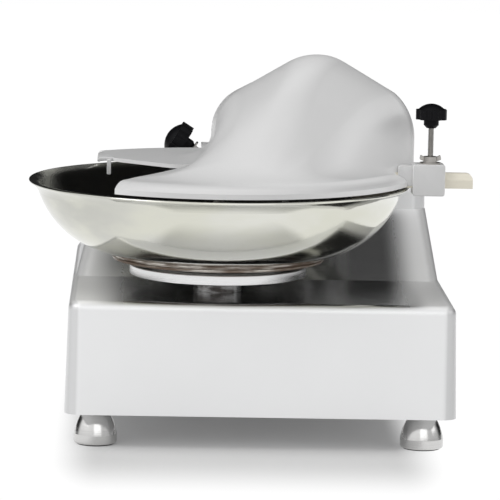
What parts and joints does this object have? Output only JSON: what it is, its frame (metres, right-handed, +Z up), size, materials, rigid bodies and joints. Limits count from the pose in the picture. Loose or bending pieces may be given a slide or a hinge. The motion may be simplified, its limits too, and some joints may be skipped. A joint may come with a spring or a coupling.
{
  "type": "meat bowl cutter",
  "caption": "Bench-top bowl cutter: round polished bowl on a turntable, cast lid with a knife bell, scraper bar with its clamp, and a wedge-shaped drive housing on metal feet.",
  "frame": {"origin": "on the floor, in the middle of the part's footprint", "axes": "+X to the operator's right, +Y to the back, +Z up; the operator faces +Y"},
  "size_m": [0.4631, 0.6, 0.406],
  "materials": {
    "housing": "satin light grey",
    "bowl_steel": "polished stainless",
    "disc_steel": "turned steel",
    "ring_steel": "turned steel with brown edge",
    "lid_cast": "bead-blasted casting",
    "foot_chrome": "polished",
    "shaft_steel": "ground",
    "knife_steel": "ground and honed",
    "bearing_steel": "bearing steel",
    "screw_steel": "zinc plated",
    "cast_grey": "machined cast iron",
    "motor_paint": "grey enamel",
    "bronze": "bronze gear",
    "spacer_plastic": "white food-grade plastic",
    "bar_cream": "cream food-grade plastic",
    "knob_black": "moulded black",
    "black_plastic": "moulded black",
    "pad_rubber": "moulded rubber",
    "belt_rubber": "fabric-backed rubber",
    "switch_steel": "brushed plate",
    "button_green": "moulded green",
    "button_red": "moulded red",
    "capacitor": "drawn can",
    "rotor_steel": "machined"
  },
  "bodies": {
    "frame": {"main_housing": "housing", "base_plate": "housing", "base_screws": "screw_steel", "feet": "foot_chrome", "foot_pads": "pad_rubber", "spindle_housing": "disc_steel", "spindle_bearings": "bearing_steel", "shaft_seals": "pad_rubber", "gearbox": "cast_grey", "gearbox_lid": "cast_grey", "drive_bearings": "bearing_steel", "motor_body": "motor_paint", "motor_end_bells": "cast_grey", "motor_mount": "cast_grey", "run_capacitor": "capacitor", "drive_belt": "belt_rubber", "knife_head": "lid_cast", "knife_sleeve": "shaft_steel", "knife_bearings": "bearing_steel", "belt_hood": "lid_cast", "housing_screws": "screw_steel", "switch_plate": "switch_steel", "interlock_sensor": "black_plastic", "rear_cover": "housing", "cable_gland": "black_plastic", "hinge_pins": "screw_steel", "lock_bracket": "lid_cast", "lock_pin": "screw_steel"},
    "drive_train": {"motor_rotor": "rotor_steel", "motor_fan": "black_plastic", "motor_pulley": "cast_grey", "shaft_coupling": "cast_grey", "worm_shaft": "shaft_steel"},
    "bowl_set": {"bowl_spindle": "shaft_steel", "worm_wheel": "bronze", "turntable": "disc_steel", "bowl_ring": "ring_steel", "drive_pins": "shaft_steel", "bowl": "bowl_steel", "bowl_nut": "screw_steel"},
    "knife_set": {"knife_shaft": "shaft_steel", "knife_pulley": "cast_grey", "knife_front": "knife_steel", "knife_middle": "knife_steel", "knife_rear": "knife_steel", "knife_spacers": "spacer_plastic", "knife_nut": "screw_steel"},
    "lid": {"cover": "lid_cast", "interlock_magnet": "black_plastic"},
    "scraper": {"scraper_bar": "bar_cream"},
    "clamp_pad_piece": {"clamp_pad": "shaft_steel"},
    "clamp_spindle": {"clamp_screw": "screw_steel", "clamp_knob": "knob_black"},
    "jam_nut": {"lock_nut": "screw_steel"},
    "swing_bolt": {"lock_bolt": "screw_steel"},
    "bolt_washer": {"lock_washer": "screw_steel"},
    "bolt_knob": {"lock_knob": "knob_black"},
    "start_key": {"start_button": "button_green"},
    "stop_key": {"stop_button": "button_red"}
  },
  "joints": [
    {"name": "motor_spin", "type": "hinge", "parent": "frame", "child": "drive_train", "pos_m": [0.032, -0.1, 0.098], "axis": [0, 1, 0], "continuous": true},
    {"name": "bowl_spin", "type": "hinge", "parent": "frame", "child": "bowl_set", "pos_m": [-0.031, -0.1, 0], "axis": [0, 0, 1], "continuous": true},
    {"name": "knife_spin", "type": "hinge", "parent": "frame", "child": "knife_set", "pos_m": [0.0675, -0.1, 0.2885], "axis": [0, 1, 0], "continuous": true},
    {"name": "cover_open", "type": "hinge", "parent": "frame", "child": "lid", "pos_m": [0.0675, 0.13, 0.3], "axis": [-1, 0, 0], "range_deg": [0, 80]},
    {"name": "scraper_slide", "type": "slide", "parent": "lid", "child": "scraper", "axis": [-1, 0, 0], "range_m": [0, 0.018]},
    {"name": "clamp_lift", "type": "slide", "parent": "lid", "child": "clamp_pad_piece", "axis": [0, 0, 1], "range_m": [0, 0.004]},
    {"name": "clamp_turn", "type": "hinge", "parent": "clamp_pad_piece", "child": "clamp_spindle", "pos_m": [0.1865, -0.145, 0.3], "axis": [0, 0, 1], "range_deg": [0, 1440]},
    {"name": "jam_nut_turn", "type": "hinge", "parent": "lid", "child": "jam_nut", "pos_m": [0.1865, -0.145, 0.3], "axis": [0, 0, 1], "range_deg": [0, 360]},
    {"name": "lock_swing", "type": "hinge", "parent": "frame", "child": "swing_bolt", "pos_m": [-0.036, 0.122, 0.268], "axis": [0, -1, 0], "range_deg": [-57.3, 0]},
    {"name": "lock_lift", "type": "slide", "parent": "swing_bolt", "child": "bolt_washer", "axis": [-0.8415, 0, 0.5402], "range_m": [0, 0.004]},
    {"name": "lock_turn", "type": "hinge", "parent": "bolt_washer", "child": "bolt_knob", "pos_m": [-0.036, 0.122, 0.268], "axis": [-0.8415, 0, 0.5402], "range_deg": [0, 1440]},
    {"name": "start_press", "type": "slide", "parent": "frame", "child": "start_key", "axis": [-1, 0, 0], "range_m": [0, 0.004], "stiffness_N_per_m": 400},
    {"name": "stop_press", "type": "slide", "parent": "frame", "child": "stop_key", "axis": [-1, 0, 0], "range_m": [0, 0.004], "stiffness_N_per_m": 400}
  ],
  "couplings": [
    {"joint": "bowl_spin", "follows": "motor_spin", "ratio": -0.019231},
    {"joint": "knife_spin", "follows": "motor_spin", "ratio": 1.5},
    {"joint": "clamp_turn", "follows": "clamp_lift", "rad_per_m": 6283.2},
    {"joint": "lock_turn", "follows": "lock_lift", "rad_per_m": 6283.2}
  ]
}
